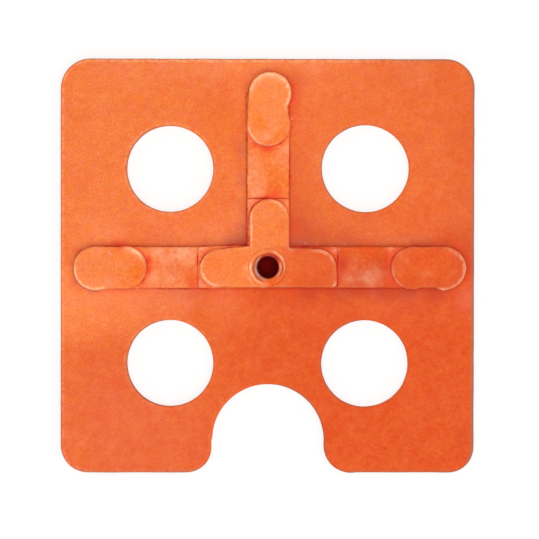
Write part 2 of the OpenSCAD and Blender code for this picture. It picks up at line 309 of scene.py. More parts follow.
# Broad stretches of painted shade, most of them on the bar's right arm and the plate beside it
BROAD_SHADE = (
    (12, -1.5, 5, 0.06), (17.9, 0.6, 1.5, 1), (20, -1.5, 4, 0.28), (26, -1.5, 4, 0.42),
    (-22, 0, 4, 0.12), (4, -6.3, 2.3, 0.16), (10, -6.3, 2.3, 0.42), (16, -6.3, 2.3, 0.38),
    (22, -6.4, 2.3, 0.42), (28, -6.4, 2.3, 0.42), (34, -6.6, 2.3, 0.45), (40, -6.8, 2.3, 0.47),
    (45.5, -5.5, 3, 0.28), (48.6, 1, 3, 0.42), (49, 8, 4, 0.23), (49, 18, 6, 0.19),
    (49, 32, 7, 0.19), (36, 49, 7, 0.19), (8, 8, 4, 0.19), (-17, -6.3, 2.5, 0.28),
    (-12, 40, 6, 0.05), (28.6, -0.5, 1.3, 0.65), (-29.3, 4.3, 1.2, 0.19), (6.8, 41.5, 1.3, 0.2),
    (7, 38, 2.5, 0.15), (7, 43.5, 2.5, 0.12), (17.6, -2.2, 1.2, 0.4), (17.7, 3, 1, 0.5),
    (21, -4, 2.5, 0.15),
)
# Small pale specks, and red spots of painted shade, most of them at the feet of the steps
SPECKS = (
    (5.9, 35.4, 0.25, 0.8), (9.2, 5.4, 0.22, 0.6), (12, 5.3, 0.2, 0.4), (18.6, 5.3, 0.22, 0.5),
    (33.8, 5.3, 0.2, 0.4), (-6.4, 17, 0.22, 0.5), (-31.4, -5.4, 0.25, 0.6), (5, 4.3, 0.22, 0.6),
    (5.4, 4.05, 0.22, 0.6), (5.8, 3.8, 0.22, 0.5), (-38.1, 3.3, 0.22, 0.5),
    (-37.8, 2.9, 0.22, 0.6), (-37.5, 2.5, 0.2, 0.4), (-26.5, 3.1, 0.2, 0.5),
    (-26.1, 2.8, 0.2, 0.5), (-25.8, 2.3, 0.2, 0.4),
)
REDDENED = (
    (-30.1, -4.2, 0.4, 1), (-28.7, 1.2, 1, 1), (-28.6, -1.2, 0.9, 0.8), (-17.9, -4.2, 1.5, 0.9),
    (-18.3, -2.2, 1.2, 0.5), (0, 28.2, 1.3, 1), (-3, 29, 0.9, 0.7), (1.8, 17.2, 1.6, 0.7),
    (19, 1.2, 1.8, 0.3), (18.8, -0.8, 1.3, 0.15), (29, -3.8, 1.1, 0.8), (28.8, 3.2, 1, 0.6),
    (28.6, 0.5, 0.9, 0.4), (-35.6, 4.6, 1.5, 0.7), (5.6, 21.3, 0.5, 0.9), (5.5, 19.6, 0.5, 0.7),
    (6.4, 40, 0.9, 0.7), (6.6, 43.5, 1, 0.5), (7, 9, 1.5, 0.4), (-0.2, 16.2, 0.8, 1),
    (45.5, 4.6, 1.5, 0.5), (48.5, 1.8, 1, 0.6), (24, 4.3, 1.4, 0.3),
)
# Chalky scuffs and clean strong orange, most of them on the low stretches of the rib
CHALKED = (
    (-25.8, 2.8, 2.5, 0.6), (-21, 3, 2.5, 0.9), (-18.5, 1.8, 2, 0.5), (-27.2, -2.8, 1.8, 0.7),
    (-23.8, -3.2, 1.8, 0.5), (-21.5, -1.5, 1.5, 0.3), (20, -3.4, 2.2, 0.6), (23.8, -3.6, 2.3, 0.7),
    (26.5, -2, 2, 0.45), (21, 0.8, 2, 0.25), (-3.5, 25.4, 1.6, 0.6), (-3, 21.5, 1.8, 0.8),
    (-2.4, 18, 1.8, 0.9), (-3.8, 19.5, 1.2, 0.5), (4.2, 27.5, 1.5, 0.6), (3, 26, 2, 0.3),
    (-4.2, 15.4, 1.2, 0.7), (-15.8, 3.7, 1.2, 0.9), (-15.9, -4.7, 1, 0.6), (15.9, 3.7, 0.9, 0.7),
    (1.6, 33.2, 1.1, 0.9), (-0.2, 31, 1, 0.9), (-2.9, 30.6, 1, 0.7), (0, 35.8, 1.2, 0.5),
    (29.4, 4.1, 0.8, 0.6), (33.5, 1.2, 1, 0.24), (31.6, 3, 1.2, 0.16), (38, -2.5, 1.2, 0.12),
    (-37.7, -3.8, 0.9, 0.6), (-33.2, -4.2, 0.8, 0.5), (-16, -4.6, 1, 0.8), (16.2, 4, 0.8, 0.9),
    (16.4, -5, 0.7, 0.8), (4.8, 15.2, 1, 0.6), (4.5, 28.4, 0.9, 0.8), (-23.4, 1.6, 1.5, 0.3),
    (-19.6, 3.6, 1.2, 0.4), (24.5, -2.6, 1.5, 0.5), (-4.95, -0.6, 0.9, 0.6), (-4.2, -3, 0.8, 0.5),
)
STRONG = (
    (-12, 36, 6, 0.4), (-28.5, 0.5, 1.5, 0.9), (-18.2, -3.6, 2, 0.9), (-21, -0.7, 2.5, 0.4),
    (-31.2, -2.2, 2.2, 1), (-30, 0.5, 1.8, 1), (-33, -3.8, 2, 0.8), (-36.5, 3.6, 2.5, 0.8),
    (22.5, 3.2, 3, 1), (19, 2, 2.5, 0.9), (26, 3.4, 2, 0.8), (28.2, 0, 1.6, 0.6),
    (1, 22, 2.2, 0.7), (2, 18.5, 2.5, 0.9), (4.3, 20, 1.5, 0.6), (-0.3, 28, 2.4, 1),
    (3.6, 16.4, 1.5, 0.5), (-1.5, 34.2, 1.8, 0.8), (2.8, 31.5, 1.8, 0.7), (-3, 35.5, 1.2, 0.5),
    (37, 1.5, 2.5, 0.6), (42, 2, 2.5, 0.6), (34, -3, 2, 0.5), (3.5, 8, 3, 0.3), (-8, -2, 4, 0.3),
    (-13, 1, 2.5, 0.4), (8, -3.5, 3, 0.4), (1, -4.4, 1.2, 0.9), (-30.4, -1.4, 1.5, 1),
    (-31.8, -3.9, 1.5, 1), (24.2, 3.9, 1.8, 1), (1.3, -3.7, 1.3, 0.9),
)

# Colours of the rubber, of what lies on it, and of the painted light, shade and highlights
DEEP_ORANGE = (0.687, 0.0776, 0.0095, 1)
LIGHTER_ORANGE = (0.82, 0.179, 0.0417, 1)
PALE_ORANGE = (1.0, 0.4, 0.16, 1)
CHALK = (0.93, 0.42, 0.24, 1)
RIM_HIGHLIGHT_PALE = (1.0, 0.66, 0.4, 1)
WORN_PINK = (0.95, 0.52, 0.42, 1)
LILAC = (1.0, 0.62, 0.56, 1)
HAZE_PINK = (0.8, 0.2, 0.2, 1)
EDGE_PALE = (1.0, 0.5, 0.27, 1)
DUST_BROWN = (0.4, 0.12, 0.095, 1)
CONTACT_RED = (0.55, 0.025, 0.01, 1)
RED_ORANGE = (0.78, 0.06, 0.02, 1)
GREY_BROWN = (0.33, 0.155, 0.1, 1)
RED_BROWN = (0.42, 0.03, 0.012, 1)
GROOVE_SHADE_BROWN = (0.32, 0.075, 0.045, 1)
PLUM = (0.27, 0.075, 0.085, 1)
EYE_RED = (0.15, 0.001, 0.001, 1)
# How much of its red, green and blue the orange keeps where it is clean and strong
CLEAN_SHARE = (1.0, 0.8, 0.2)

# Bands of painted highlight and painted shade, and the bright band inside the plate's edge: where a
# band begins, where it is full, where it starts to go and where it ends. Those on the steps and the
# plate's edge are in millimetres from the outline, inside it below 0. Those in the ring are radii.
FOOT_SPREAD = (-0.1, 0.1, 0.3, 1.9)
FOOT_LINE = (-0.08, 0.08, 0.2, 0.45)
RIM = (-0.9, -0.3, -0.1, 0.3)
SHOULDER = (-1.9, -0.9, -0.5, -0.1)
LIP = (-0.45, -0.2, 0, 0.05)
BRIGHT_EDGE = (-1.1, -0.6, -0.32, -0.03)
RING_GROOVE = (3.2, 3.35, 3.55, 3.7)
RING_RIM = (4.3, 4.5, 4.6, 4.85)
ON_OUTER_BEAD = (3.66, 3.95, 4.25, 4.5)
ON_INNER_BEAD = (2.5, 2.7, 3.15, 3.35)
# Up to what distance the mesh keeps distances for the material, how far inside its outline a
# rim's painted highlight is set, which is twice as much where the rim faces right or up and nothing
# where it faces left or down, and between which depths the eye is painted dark as shade
REACH = 2
RIM_INSET = 0.12
EYE_DARK = (0.6, 1.3)

# Level of the even light from all round, and how much of the floor's white is its own glow
DOME = 0.5
FLOOR_GLOW = 0.8
# Half the floor's side, and how far it lies below the underside so that the two don't meet, in
# metres
FLOOR_HALF = 3.0
FLOOR_DROP = 0.00002


def waver(x, y, wavelength, seed):
    """Smooth seeded unevenness between -1 and 1, from a few crossing waves."""
    rng = np.random.default_rng(seed)
    total = np.zeros(np.shape(x))
    waves = 6
    for _ in range(waves):
        turn, phase = rng.uniform(0, 2 * math.pi, 2)
        k = 2 * math.pi / (wavelength * rng.uniform(0.7, 1.5))
        total += np.sin(k * (math.cos(turn) * x + math.sin(turn) * y) + phase)
    return np.clip(total / math.sqrt(waves * 2), -1, 1)


def ease(a, b, t):
    """Runs smoothly from 0 at a to 1 at b."""
    s = np.clip((t - a) / (b - a), 0, 1)
    return s * s * (3 - 2 * s)


def disc(x, y, cx, cy, r):
    """Distance to a circle, below 0 inside it."""
    return np.hypot(x - cx, y - cy) - r


def block(x, y, x0, x1, y0, y1, r=0.0):
    """Distance to a rectangle whose corners are rounded by r."""
    dx = np.maximum(x0 - x, x - x1) + r
    dy = np.maximum(y0 - y, y - y1) + r
    outside = np.hypot(np.maximum(dx, 0), np.maximum(dy, 0))
    return outside + np.minimum(np.maximum(dx, dy), 0) - r


def hull(x, y, corners):
    """Distance to a convex outline, its corners given anticlockwise."""
    d = np.full(np.shape(x), -np.inf)
    for (ax, ay), (bx, by) in zip(corners, corners[1:] + corners[:1]):
        run, rise = bx - ax, by - ay
        d = np.maximum(d, ((x - ax) * rise - (y - ay) * run) / math.hypot(run, rise))
    return d


def join(*shapes):
    """Union of distances, with the inner corners rounded a little as in a mould."""
    total = shapes[0]
    for shape in shapes[1:]:
        h = np.maximum(BLEND - np.abs(total - shape), 0) / BLEND
        total = np.minimum(total, shape) - h * h * BLEND / 4
    return total


def slot_outline(x, y):
    """Distance to the open slot, whose mouth is still square."""
    d = disc(x, y, SLOT_X, SLOT_END_Y, SLOT_R)
    for side, (cx, cy, mouth_r) in zip((-1, 1), MOUTH):
        wall = cx - side * mouth_r
        d = np.minimum(d, block(x, y, *sorted((0, wall)), cy - 1, SLOT_END_Y))
        d = np.minimum(d, block(x, y, *sorted((0, cx)), -2 * PLATE_HALF, cy))
    return d


def plate_outline(x, y):
    """Distance to the plate's outline seen from above, below 0 inside the rubber."""
    half = PLATE_HALF
    across, up = (x + half) / (2 * half), (y + half) / (2 * half)
    left, low, right, high = (half - a - (b - a) * t
                              for (a, b), t in zip(SHRINK, (up, across, up, across)))
    r = np.zeros(np.shape(x))
    for (side_x, side_y), corner_r in CORNER_R.items():
        r = np.where((x * side_x >= 0) & (y * side_y >= 0), corner_r, r)
    d = block(x, y, -left, right, -low, high, r)
    for hole in HOLES:
        d = np.maximum(d, -disc(x, y, *hole))
    d = np.maximum(d, -slot_outline(x, y))
    for mouth in MOUTH:
        d = np.minimum(d, disc(x, y, *mouth))
    return d + EDGE_WAVER * (0.5 + 0.3 * waver(x, y, 9, 11) + 0.2 * waver(x, y, 3.5, 12))


def arm_frame(x, y, turn):
    """Coordinates along an arm from the T's middle, and to the left of its middle line."""
    drop = 0 if turn == UPWARDS else BAR_DROP
    c, s = math.cos(math.radians(turn)), math.sin(math.radians(turn))
    px, py = x - T_X, y - T_Y + drop
    return c * px + s * py, c * py - s * px


def uneven(x, y):
    """Point shifted a little, so that an outline made from it wavers."""
    return (x + OUTLINE_WAVER * (0.7 * waver(x, y, 7, 21) + 0.5 * waver(x, y, 2, 23)),
            y + OUTLINE_WAVER * (0.7 * waver(x, y, 7, 22) + 0.5 * waver(x, y, 2, 24)))


def rib_outline(x, y):
    """Distance to the low rib under the whole T."""
    x, y = uneven(x, y)
    bars = []
    for arm in ARMS:
        right = RIB_HALF + (UPRIGHT_EXTRA if arm.turn == UPWARDS else 0)
        bars.append(block(*arm_frame(x, y, arm.turn), -RIB_HALF, arm.outer[0], -right, RIB_HALF))
    return join(*bars)


def tier_outline(x, y):
    """Distance to the hub's lower tier. Its upper left edge climbs towards the upright."""
    x, y = uneven(x, y)
    low, high = T_Y - BAR_DROP - RIB_HALF, T_Y - BAR_DROP + RIB_HALF
    bar = block(x, y, -TIER_LEFT, TIER_RIGHT, low, high, TIER_CORNER_R)
    start = -TIER_LEFT + TIER_CORNER_R
    climb = hull(x, y, ((start, 0), (0, 0), (0, TIER_CLIMB[1]), TIER_CLIMB, (start, high)))
    upright = block(x - T_X, y, -RIB_HALF, RIB_HALF + UPRIGHT_EXTRA, 0, TIER_UP, TIER_CORNER_R)
    return join(bar, climb, upright)


def pad_outline(x, y, arm):
    """Distance to one arm's pad: two rounds and the neck between them."""
    u, v = arm_frame(x, y, arm.turn)
    far, near = arm.outer[0], arm.inner[0]
    neck = hull(u, v, ((near, -arm.right[1]), (far, -arm.right[0]),
                       (far, arm.left[0]), (near, arm.left[1])))
    return join(disc(u, v, *arm.outer), disc(u, v, *arm.inner), neck)


def hub_outline(x, y):
    """Distance to the hub's upper tier, with its round ends and its blunt corner."""
    (left_x, left_y, left_r), (right_x, right_y, right_r), (up_x, up_y, up_r) = HUB_ROUNDS
    left_bar = hull(x, y, ((left_x, left_y - left_r), (HUB_PAST, HUB_LOW), (HUB_PAST, HUB_BEND[1]),
                           HUB_BEND, (left_x, left_y + left_r)))
    right_bar = hull(x, y, ((-HUB_PAST, HUB_LOW), (right_x, right_y - right_r),
                            (right_x, right_y + right_r), (-HUB_PAST, HUB_RIGHT_Y)))
    upright = hull(x, y, ((HUB_SIDES[0], 0), (HUB_SIDES[1], 0),
                          (up_x + up_r, up_y), (up_x - up_r, up_y)))
    blunt = block(x, y, *BLUNT_X, HUB_LOW, right_y, BLUNT_R)
    return join(left_bar, right_bar, upright, blunt, *(disc(x, y, *r) for r in HUB_ROUNDS))


def crest_outline(x, y):
    """Distance to what lies at the top level: the pads and the hub's upper tier."""
    x, y = uneven(x, y)
    d = hub_outline(x, y)
    for arm in ARMS:
        d = np.minimum(d, pad_outline(x, y, arm))
    return d


def t_outline(x, y):
    """Distance to everything that stands on the plate."""
    return np.minimum(rib_outline(x, y), np.minimum(tier_outline(x, y), crest_outline(x, y)))


def round_over(d, top, r):
    """Height of a wall's rounded crest, nothing outside it."""
    inner = np.clip(r + d, 0, r)
    return np.where(d <= ON_TOP, top - r + np.sqrt(r * r - inner * inner), -1.0)


def rib_level(x, y):
    """Top of the rib, with its ramps up to the pads' feet."""
    level = np.full(np.shape(x), RIB_Z) - RIB_SAG * (0.5 + 0.5 * waver(x, y, 5, 31))
    for arm in ARMS:
        u, v = arm_frame(x, y, arm.turn)
        rise = ease(PAD_FOOT - RAMP_L, PAD_FOOT + RAMP_PAST, u) * (np.abs(v) < 2 * RIB_HALF)
        level = level + (TIER_Z - RIB_Z) * rise
    return level


def crest_level(x, y):
    """Top of the pads and the hub. A pad's inner part lies a hair lower than its end."""
    level = np.full(np.shape(x), TOP_Z) - CREST_SAG * (0.5 + 0.5 * waver(x, y, 6, 32))
    for arm in ARMS:
        u, v = arm_frame(x, y, arm.turn)
        inner_part = ease(-0.1, 0.1, disc(u, v, *arm.outer)) * (u > PAD_FOOT - RAMP_L)
        level = level - PAD_STEP * inner_part
    return level


def eye_radius(x, y):
    """Distance from the middle of the ring; the inner bead has a middle of its own."""
    outer = np.hypot(x - RING_X, y - RING_Y)
    inner = np.hypot(x - INNER_X, y - INNER_Y)
    r = outer + (inner - outer) * ease(*INNER_FROM, (outer + inner) / 2)
    return r + RING_WAVER * waver(x * 3, y * 3, 7, 41) * ease(EYE_MOUTH_R, 3.2, r)


def bead_left(x, y, gaps):
    """How much of a bead is left at each point, between 0 and 1."""
    turn = np.degrees(np.arctan2(y - RING_Y, x - RING_X))
    left = np.ones(np.shape(x))
    for middle, half_gap, gone in gaps:
        away = np.abs((turn - middle + 180) % 360 - 180)
        left = left * (1 - gone * ease(half_gap, half_gap * 0.4, away))
    return left


def ring_shape(x, y, z):
    """Cuts the ring recess with its two beads into heights z."""
    r = eye_radius(x, y)
    ring = np.where(r < OUTER_BEAD.r, TOP_Z - INNER_BEAD.height, TOP_Z - OUTER_BEAD.height)
    for bead in (OUTER_BEAD, INNER_BEAD):
        rise = np.sqrt(np.clip(1 - ((r - bead.r) / bead.half_w) ** 2, 0, None))
        rise = rise * bead_left(x, y, bead.gaps)
        ring = np.maximum(ring, TOP_Z - BEAD_DROP - bead.height * (1 - rise))
    lip = ease(RING_R, RING_R - RING_LIP, r)
    return np.where(r < RING_R, np.minimum(z, z + (ring - z) * lip), z)


def eye_shape(x, y, z):
    """Cuts the blind eye, with its worn mouth, into heights z."""
    r = np.hypot(x - EYE_X, y - EYE_Y)
    worn = np.clip((EYE_MOUTH_R - r) / (EYE_MOUTH_R - EYE_R), 0, 1)
    z = np.minimum(z, TOP_Z - EYE_MOUTH_DEPTH * worn)
    return np.where(r < EYE_R - EYE_LEAN / 2, EYE_FLOOR, z)


def surface(x, y):
    """Height of the upper side at each point."""
    d_plate = plate_outline(x, y)
    swell = PLATE_SWELL * waver(x, y, 12, 33) * ease(0.5, 3, -d_plate)
    z = round_over(d_plate, PLATE_T, PLATE_EDGE_R) + swell
    z = np.maximum(z, round_over(rib_outline(x, y), rib_level(x, y), RIB_EDGE_R))
    z = np.maximum(z, round_over(tier_outline(x, y), TIER_Z, RIB_EDGE_R))
    z = np.maximum(z, round_over(crest_outline(x, y), crest_level(x, y), PAD_EDGE_R))
    return eye_shape(x, y, ring_shape(x, y, z))


def cut_edges(low):
    """Links between the cut edges of a grid, each as (0 along x or 1 along y, row, column)."""
    mixed = low[:-1, :-1].astype(int) + low[1:, :-1] + low[:-1, 1:] + low[1:, 1:]
    links = {}
    for j, i in np.argwhere((mixed > 0) & (mixed < 4)).tolist():
        corners = (low[j, i], low[j, i + 1], low[j + 1, i + 1], low[j + 1, i])
        sides = ((0, j, i), (1, j, i + 1), (0, j + 1, i), (1, j, i))
        cut = [sides[k] for k in range(4) if corners[k] != corners[(k + 1) % 4]]
        if len(cut) == 4 and corners[0]:
            cut = cut[1:] + cut[:1]
        for a, b in zip(cut[::2], cut[1::2]):
            links.setdefault(a, []).append(b)
            links.setdefault(b, []).append(a)
    return links


def closed_chains(links):
    """Chains of linked edges, each followed until it closes."""
    while links:
        here = next(iter(links))
        chain = []
        while here in links:
            chain.append(here)
            ways = links.pop(here)
            here = next((way for way in ways if way in links), None)
        yield chain


def even_spacing(loop, spacing):
    """The same closed line with its points evenly spaced."""
    closed = np.vstack([loop, loop[:1]])
    run = np.concatenate([[0], np.cumsum(np.hypot(*np.diff(closed, axis=0).T))])
    count = max(12, round(run[-1] / spacing))
    at = np.arange(count) * run[-1] / count
    return np.column_stack([np.interp(at, run, closed[:, k]) for k in (0, 1)])


def trace(field, span, step, level, spacing):
    """Evenly spaced closed lines on which a distance field has a level, by marching squares."""
    x0, x1, y0, y1 = span
    xs = np.arange(x0, x1 + step, step)
    ys = np.arange(y0, y1 + step, step)
    value = field(*np.meshgrid(xs, ys)) - level
    loops = []
    for chain in closed_chains(cut_edges(value < 0)):
        points = []
        for kind, j, i in chain:
            a = value[j, i]
            b = value[j, i + 1] if kind == 0 else value[j + 1, i]
            t = a / (a - b) * step
            points.append((xs[i] + t, ys[j]) if kind == 0 else (xs[i], ys[j] + t))
        loops.append(even_spacing(np.array(points), spacing))
    return loops


def circle(cx, cy, r, count):
    turn = np.arange(count) * 2 * math.pi / count
    return np.column_stack([cx + r * np.cos(turn), cy + r * np.sin(turn)])


def fill_points(span, spacing, keep):
    """Triangular grid of points over a span, where keep(x, y) says so."""
    x0, x1, y0, y1 = span
    rows = np.arange(y0, y1, spacing * math.sqrt(0.75))
    xs = np.arange(x0, x1, spacing)
    x, y = np.meshgrid(xs, rows)
    x = x + (np.arange(len(rows)) % 2)[:, None] * spacing / 2
    x, y = x.ravel(), y.ravel()
    chosen = keep(x, y)
    return np.column_stack([x, y])[chosen]


def fenced_groups(faces, fence):
    """Groups of triangles that hang together without crossing the fence."""
    neighbours = {}
    for k, face in enumerate(faces):
        for a, b in zip(face, face[1:] + face[:1]):
            edge = (a, b) if a < b else (b, a)
            if edge not in fence:
                neighbours.setdefault(edge, []).append(k)
    beside = [[] for _ in faces]
    for pair in neighbours.values():
        if len(pair) == 2:
            beside[pair[0]].append(pair[1])
            beside[pair[1]].append(pair[0])
    seen = set()
    for seed in range(len(faces)):
        if seed in seen:
            continue
        seen.add(seed)
        group, stack = [], [seed]
        while stack:
            k = stack.pop()
            group.append(k)
            fresh = [other for other in beside[k] if other not in seen]
            seen.update(fresh)
            stack += fresh
        yield group


class Lots:
    """Points gathered lot by lot."""

    def __init__(self):
        self.points = []
        self.count = 0

    def add(self, points):
        """Adds a lot of points and gives the number of its first one."""
        first = self.count
        self.points.append(points)
        self.count += len(points)
        return first


class Net(Lots):
    """Flat points and the lines between them that a triangulation has to keep."""

    def __init__(self):
        super().__init__()
        self.edges = []
        self.fence = []

    def loop(self, points, keep=None, fence=False):
        """Adds a closed line, or the parts of it that keep(x, y) chooses."""
        first = self.add(points)
        n = len(points)
        kept = np.ones(n, bool) if keep is None else keep(*points.T)
        for k in range(n):
            if kept[k] and kept[(k + 1) % n]:
                self.edges.append((first + k, first + (k + 1) % n))
        if fence:
            self.fence += self.edges[-n:]
        return first

    def triangles(self, inside):
        """Triangles on the inner side of the fence, points, and where each point went."""
        source = [Vector(p) for p in np.vstack(self.points).tolist()]
        made = delaunay_2d_cdt(source, self.edges, [], 0, 1e-6)
        points = np.array([(p.x, p.y) for p in made[0]])
        faces = np.array(made[2])
        place = np.zeros(self.count, int)
        for new, olds in enumerate(made[3]):
            place[olds] = new
        fence = {tuple(sorted((place[a], place[b]))) for a, b in self.fence}
        corners = points[faces]
        middle = corners.mean(1)
        p, q = corners[:, 1] - corners[:, 0], corners[:, 2] - corners[:, 0]
        area = np.abs(p[:, 0] * q[:, 1] - p[:, 1] * q[:, 0])
        depth = inside(*middle.T) * area
        kept = np.zeros(len(faces), bool)
        for group in fenced_groups(faces.tolist(), fence):
            kept[group] = depth[group].sum() < 0
        return points, faces[kept], place


class Shell(Lots):
    """Points and faces of the moulding."""

    def __init__(self):
        super().__init__()
        self.faces = []

    def strip(self, above, below):
        """Adds the faces between two rings with as many points."""
        n = len(above)
        for i in range(n):
            j = (i + 1) % n
            self.faces.append((int(above[i]), int(above[j]), int(below[j]), int(below[i])))


def outward(field, points):
    """Unit normals of an outline, away from the rubber."""
    h = 0.02
    x, y = points.T
    g = np.column_stack([field(x + h, y) - field(x - h, y), field(x, y + h) - field(x, y - h)])
    return g / np.maximum(np.hypot(*g.T), 1e-9)[:, None]


def turned_out(rim):
    """A rim's points in the order that has the rubber on their right."""
    ahead = np.roll(rim, -1, axis=0) - rim
    away = outward(plate_outline, rim)
    side = (ahead[:, 0] * away[:, 1] - ahead[:, 1] * away[:, 0]).sum()
    return rim if side > 0 else rim[::-1]


def crest_depths(r):
    """Where a crest rounded by r gets lines of points, as distances to its outline."""
    return [-r * (1 - math.cos(turn)) for turn in CREST_TURNS] + [-r - CREST_FLAT]


def off_crest(x, y):
    return crest_outline(x, y) > FOOT_GAP / 2


def off_crest_and_tier(x, y):
    return off_crest(x, y) & (tier_outline(x, y) > FOOT_GAP / 2)


def clear_of_lines(x, y, gap):
    """Where points can be filled in without coming near a line of the net."""
    clear = plate_outline(x, y) < -PLATE_EDGE_R - gap
    for field in (rib_outline, tier_outline, crest_outline):
        d = field(x, y)
        clear &= (d > gap) | (d < -PAD_EDGE_R - 0.05 - gap / 2)
    return clear & (disc(x, y, RING_X, RING_Y, RING_R) > RING_GAP)


def near_t(x, y):
    return np.minimum(rib_outline(x, y), crest_outline(x, y)) <= T_MARGIN


def add_step_lines(net):
    """Lines along the plate's edge and along each step of the T."""
    for level in crest_depths(PLATE_EDGE_R):
        for loop in trace(plate_outline, PLATE_SPAN, PLATE_SEARCH, level, RIM_SPACING):
            net.loop(loop)
    for field, edge_r, keep in ((crest_outline, PAD_EDGE_R, None),
                                (tier_outline, RIB_EDGE_R, off_crest),
                                (rib_outline, RIB_EDGE_R, off_crest_and_tier)):
        for level in [FOOT_GAP, -EDGE_GAP] + crest_depths(edge_r):
            for loop in trace(field, T_SPAN, T_SEARCH, level, STEP_SPACING):
                net.loop(loop, keep)


def add_eye_circles(net):
    """Circles of points in the ring, down the eye and on its floor."""
    for r in RING_CIRCLES:
        net.loop(circle(RING_X, RING_Y, r, RING_POINTS))
    for r in (EYE_R - EYE_LEAN, EYE_R):
        net.loop(circle(EYE_X, EYE_Y, r, RING_POINTS))
    net.add(circle(EYE_X, EYE_Y, EYE_FLOOR_CIRCLE, RING_POINTS // 5))


def upper_net(rims):
    """Lines and points of the upper side, and the number of each rim's first point."""
    net = Net()
    rim_starts = [net.loop(rim, fence=True) for rim in rims]
    add_step_lines(net)
    add_eye_circles(net)
    # The specks and the smallest red spot are finer than the mesh, so they get their own points.
    for cx, cy, r, _ in SPECKS + REDDENED[:1]:
        for spot_r in (0.2, r, r * 1.5):
            net.add(circle(cx, cy, spot_r, SPOT_POINTS))
    net.add(fill_points(PLATE_SPAN, PLATE_SPACING,
                        lambda x, y: clear_of_lines(x, y, PLATE_GAP) & ~near_t(x, y)))
    net.add(fill_points(T_SPAN, T_SPACING,
                        lambda x, y: clear_of_lines(x, y, T_GAP) & near_t(x, y)))
    return net, rim_starts


def add_upper_side(shell, rims):
    """Adds the upper side and gives the points of its rims."""
    net, rim_starts = upper_net(rims)
    flat, faces, place = net.triangles(plate_outline)
    z = surface(*flat.T)
    rings = [place[first:first + len(rim)] for rim, first in zip(rims, rim_starts)]
    for ring in rings:
        z[ring] = PLATE_T - PLATE_EDGE_R
    shell.add(np.column_stack([flat, z]))
    shell.faces += faces.tolist()
    return rings


def wall_rows():
    """How far inside the outline and how high each row of a wall's points is."""
    r = PLATE_EDGE_R
    upright = [(0.0, PLATE_T - r - k * (PLATE_T - 2 * r) / WALL_ROWS)
               for k in range(1, WALL_ROWS + 1)]
    return upright + [(r * (1 - math.cos(turn)), r * (1 - math.sin(turn))) for turn in CREST_TURNS]


def add_wall(shell, rim, ring):
    """Adds the scarred wall below a rim and gives its last row, flat and in the shell."""
    away = outward(plate_outline, rim)
    x, y = rim.T
    for k, (inset, height) in enumerate(wall_rows()):
        scar = WALL_SCAR * (0.5 + 0.5 * waver(x + 3 * height, y - 2 * height, 4, 51))
        scar = scar * math.sin(math.pi * min(1, (k + 1) / (WALL_ROWS + 1)))
        row = rim - away * (inset + scar)[:, None]
        first = shell.add(np.column_stack([row, np.full(len(row), height)]))
        below = np.arange(first, shell.count)
        shell.strip(ring, below)
        ring = below
    return row, ring


def add_underside(shell, walls):
    """Closes the shell with a flat underside between the last rows of its walls."""
    net = Net()
    starts = [net.loop(row, fence=True) for row, _ in walls]
    inset = PLATE_EDGE_R + UNDER_GAP
    net.add(fill_points(PLATE_SPAN, UNDER_SPACING, lambda x, y: plate_outline(x, y) < -inset))
    flat, faces, place = net.triangles(lambda x, y: plate_outline(x, y) + PLATE_EDGE_R)
    into = np.full(len(flat), -1)
    for first, (_, ring) in zip(starts, walls):
        into[place[first:first + len(ring)]] = ring
    loose = np.flatnonzero(into < 0)
    first = shell.add(np.column_stack([flat[loose], np.zeros(len(loose))]))
    into[loose] = np.arange(first, shell.count)
    shell.faces += into[faces][:, ::-1].tolist()


def build_moulding():
    """Points in millimetres and faces of the whole moulding."""
    outlines = trace(plate_outline, PLATE_SPAN, PLATE_SEARCH, 0, RIM_SPACING)
    rims = [turned_out(outline) for outline in outlines]
    shell = Shell()
    rings = add_upper_side(shell, rims)
    add_underside(shell, [add_wall(shell, rim, ring) for rim, ring in zip(rims, rings)])
    return np.vstack(shell.points), shell.faces


def mesh_piece(name, points, faces):
    """Object made from points in millimetres and faces."""
    mesh = bpy.data.meshes.new(name)
    mesh.from_pydata((points * MM).tolist(), [], faces)
    mesh.validate()
    mesh.update()
    piece = bpy.data.objects.new(name, mesh)
    bpy.context.scene.collection.objects.link(piece)
    mesh.shade_smooth()
    mesh.set_sharp_from_angle(angle=SHARP_TURN)
    return piece


class Val:
    """Wraps a shader socket so that maths on it reads as Python."""

    def __init__(self, paint, socket):
        self.paint = paint
        self.socket = socket

    def math(self, operation, *others):
        terms = dict(enumerate((self,) + others))
        return self.paint.node("ShaderNodeMath", {"operation": operation}, terms)

    def __add__(self, other):
        return self.math("ADD", other)

    def __sub__(self, other):
        return self.math("SUBTRACT", other)

    def __rsub__(self, other):
        return self.math("MULTIPLY_ADD", -1.0, other)

    def __mul__(self, other):
        return self.math("MULTIPLY", other)

    def __or__(self, other):
        """The stronger of two masks."""
        return self.math("MAXIMUM", other)

    __radd__ = __add__
    __rmul__ = __mul__
    __ror__ = __or__

    def between(self, a, b):
        """Runs smoothly from 0 at a to 1 at b."""
        return self.paint.node("ShaderNodeMapRange", {"interpolation_type": "SMOOTHSTEP"},
                               {0: self, 1: a, 2: b})

    def band(self, start, full, ebb, end):
        """Rises from 0 to 1 between start and full and falls back between ebb and end."""
        return self.between(start, full) * self.between(end, ebb)


